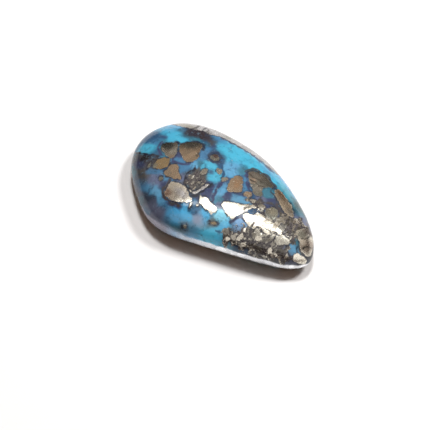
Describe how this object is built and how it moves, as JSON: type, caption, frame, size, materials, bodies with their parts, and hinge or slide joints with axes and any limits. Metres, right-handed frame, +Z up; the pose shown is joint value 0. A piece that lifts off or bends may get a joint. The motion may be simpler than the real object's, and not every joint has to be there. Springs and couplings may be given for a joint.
{
  "type": "pear-shaped turquoise cabochon",
  "caption": "Polished pear-shaped turquoise cabochon with a low dome, a flat back, and pyrite flakes and dark matrix in blue stone.",
  "frame": {"origin": "middle of the stone's box, on the surface that its flat back rests on", "axes": "+X along the stone's length to its tip, +Y towards its fuller side, +Z up out of the dome"},
  "size_m": [0.028, 0.0166, 0.0058],
  "materials": {
    "polished_turquoise": "high polish on blue turquoise, with brassy pyrite flakes and dark brown matrix; the flat back is lapped matte"
  },
  "bodies": {
    "root": {"stone": "polished_turquoise"}
  },
  "joints": []
}
